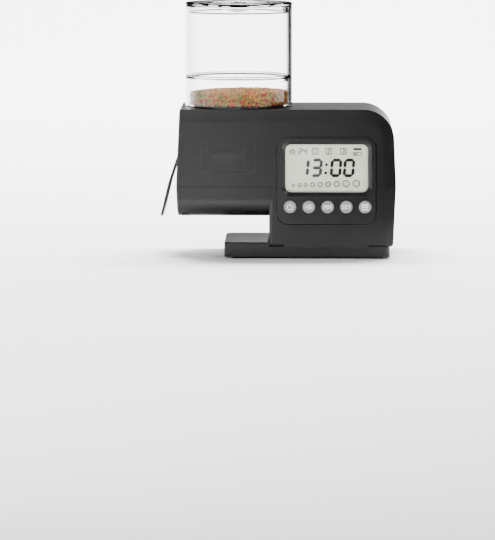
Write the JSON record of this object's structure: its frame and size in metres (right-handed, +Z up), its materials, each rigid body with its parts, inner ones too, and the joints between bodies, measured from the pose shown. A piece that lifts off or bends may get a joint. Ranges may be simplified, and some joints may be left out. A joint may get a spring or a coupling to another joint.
{
  "type": "automatic fish feeder",
  "caption": "Automatic fish feeder: clear food container on a black housing whose overhang drops food past a hinged flap, on a flat base plate.",
  "frame": {"origin": "centre of the anti-slip mat's underside, under the base plate", "axes": "+X towards the control end, away from the food outlet; -Y is the front with the display; +Z up"},
  "size_m": [0.1318, 0.0623, 0.142],
  "materials": {
    "casing_black": "fine satin moulding texture",
    "base_black": "satin",
    "mat_rubber": "matt ribbed",
    "panel_black": "satin",
    "lens_clear": "clear polished",
    "lcd_grey": "grey-green reflective display",
    "board_green": "solder mask",
    "component_black": "moulded",
    "button_silver": "silver satin paint",
    "steel": "plain",
    "spring_steel": "drawn wire",
    "brass": "turned",
    "gear_white": "acetal",
    "auger_white": "acetal",
    "frame_grey": "moulded",
    "clear_plastic": "clear polished",
    "food": "dry pellets, red, ochre and green",
    "cell_wrap": "gloss sleeve",
    "contact_plate": "nickel plated"
  },
  "bodies": {
    "base": {"mounting_base": "base_black", "base_mat": "mat_rubber"},
    "housing": {"upper_casing": "casing_black", "lower_casing": "casing_black", "control_panel": "panel_black", "display_lens": "lens_clear", "lcd_module": "lcd_grey", "control_board": "board_green", "board_components": "component_black", "tact_switches": "component_black", "board_screws": "steel", "casing_screws": "steel", "hopper_funnel": "casing_black", "auger_tube": "frame_grey", "food_container": "clear_plastic", "food_bed": "food", "flap_pin": "steel", "gearbox_frame": "frame_grey", "gearbox_plate": "frame_grey", "gearbox_screws": "steel", "gear_axles": "steel", "auger_bush": "brass", "motor_can": "steel", "motor_end_cap": "component_black", "battery_tray": "component_black", "batteries": "cell_wrap", "battery_springs": "spring_steel", "battery_contacts": "contact_plate"},
    "extension": {"container_extension": "clear_plastic"},
    "lid": {"container_lid": "clear_plastic"},
    "auger": {"feed_auger": "auger_white", "auger_gear": "gear_white"},
    "gear_2": {"compound_gear_2": "gear_white"},
    "gear_1": {"compound_gear_1": "gear_white"},
    "motor_rotor": {"motor_shaft": "steel", "motor_pinion": "brass"},
    "flap": {"outlet_flap": "casing_black"},
    "battery_door": {"battery_door": "casing_black"},
    "button_power": {"button_power": "button_silver"},
    "button_hour": {"button_hour": "button_silver"},
    "button_minute": {"button_minute": "button_silver"},
    "button_set": {"button_set": "button_silver"},
    "button_menu": {"button_menu": "button_silver"}
  },
  "joints": [
    {"name": "housing_lift", "type": "slide", "parent": "base", "child": "housing", "axis": [0, 0, 1], "range_m": [0, 0.022]},
    {"name": "extension_lift", "type": "slide", "parent": "housing", "child": "extension", "axis": [0, 0, 1], "range_m": [0, 0.03]},
    {"name": "lid_lift", "type": "slide", "parent": "extension", "child": "lid", "axis": [0, 0, 1], "range_m": [0, 0.02]},
    {"name": "motor_spin", "type": "hinge", "parent": "housing", "child": "motor_rotor", "pos_m": [-0.005, -0.00549, 0.06997], "axis": [1, 0, 0], "continuous": true},
    {"name": "gear_1_spin", "type": "hinge", "parent": "housing", "child": "gear_1", "pos_m": [-0.005, 0.003, 0.06148], "axis": [1, 0, 0], "continuous": true},
    {"name": "gear_2_spin", "type": "hinge", "parent": "housing", "child": "gear_2", "pos_m": [-0.005, 0.009, 0.05109], "axis": [1, 0, 0], "continuous": true},
    {"name": "auger_spin", "type": "hinge", "parent": "housing", "child": "auger", "pos_m": [-0.005, 0.003, 0.0407], "axis": [1, 0, 0], "continuous": true},
    {"name": "flap_hinge", "type": "hinge", "parent": "housing", "child": "flap", "pos_m": [-0.0713, 0.003, 0.058], "axis": [0, 1, 0], "range_deg": [-16, 34]},
    {"name": "button_power_press", "type": "slide", "parent": "housing", "child": "button_power", "axis": [0, 1, 0], "range_m": [0, 0.0006], "stiffness_N_per_m": 300},
    {"name": "button_hour_press", "type": "slide", "parent": "housing", "child": "button_hour", "axis": [0, 1, 0], "range_m": [0, 0.0006], "stiffness_N_per_m": 300},
    {"name": "button_minute_press", "type": "slide", "parent": "housing", "child": "button_minute", "axis": [0, 1, 0], "range_m": [0, 0.0006], "stiffness_N_per_m": 300},
    {"name": "button_set_press", "type": "slide", "parent": "housing", "child": "button_set", "axis": [0, 1, 0], "range_m": [0, 0.0006], "stiffness_N_per_m": 300},
    {"name": "button_menu_press", "type": "slide", "parent": "housing", "child": "button_menu", "axis": [0, 1, 0], "range_m": [0, 0.0006], "stiffness_N_per_m": 300},
    {"name": "battery_door_hinge", "type": "hinge", "parent": "housing", "child": "battery_door", "pos_m": [0.014, 0.0329, 0.0123], "axis": [-1, 0, 0], "range_deg": [0, 85]}
  ],
  "couplings": [
    {"joint": "gear_1_spin", "follows": "motor_spin", "ratio": -0.33333},
    {"joint": "gear_2_spin", "follows": "motor_spin", "ratio": 0.11111},
    {"joint": "auger_spin", "follows": "motor_spin", "ratio": -0.037037}
  ]
}
